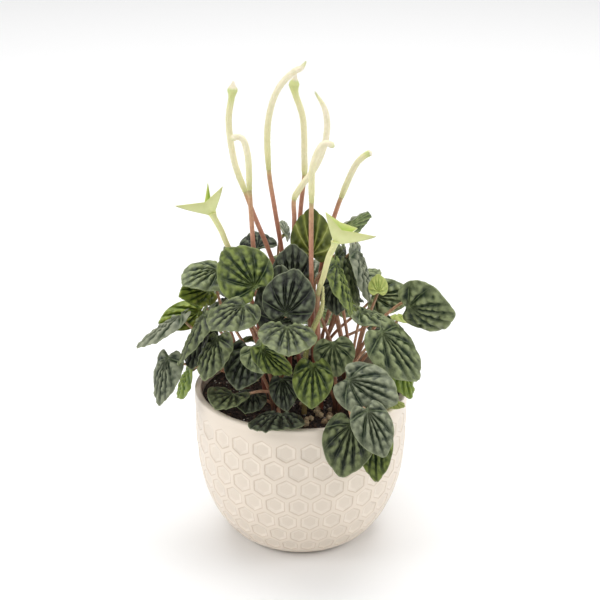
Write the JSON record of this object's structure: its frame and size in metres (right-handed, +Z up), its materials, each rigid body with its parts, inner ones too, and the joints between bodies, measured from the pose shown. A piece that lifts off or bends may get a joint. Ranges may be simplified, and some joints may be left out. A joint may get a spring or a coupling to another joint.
{
  "type": "potted peperomia",
  "caption": "Ripple-leaved peperomia with pale flower spikes, growing in a cream honeycomb-patterned ceramic bowl pot; stands as table or shelf decoration.",
  "frame": {"origin": "centre of the pot's underside", "axes": "+Z up out of the pot, -Y towards the viewer, +X to the viewer's right"},
  "size_m": [0.1897, 0.204, 0.2992],
  "materials": {
    "glaze": "satin",
    "soil": "matte",
    "foliage": "satin",
    "stalks": "matte",
    "spikes": "matte",
    "stars": "matte"
  },
  "bodies": {
    "root": {"pot": "glaze", "soil": "soil", "crown_left": "foliage", "crown_frontLeft": "foliage", "crown_frontRight": "foliage", "crown_right": "foliage", "crown_backLeft": "foliage", "crown_backRight": "foliage", "stalk_a": "stalks", "stalk_b": "stalks", "stalk_c": "stalks", "stalk_d": "stalks", "stalk_e": "stalks", "stalk_f": "stalks", "stalk_g": "stalks", "spike_a": "spikes", "spike_b": "spikes", "spike_c": "spikes", "spike_d": "spikes", "spike_e": "spikes", "spike_f": "spikes", "spike_g": "spikes", "spike_young": "spikes", "stalk_star_left": "stalks", "stalk_star_right": "stalks", "star_left": "stars", "star_right": "stars"}
  },
  "joints": []
}
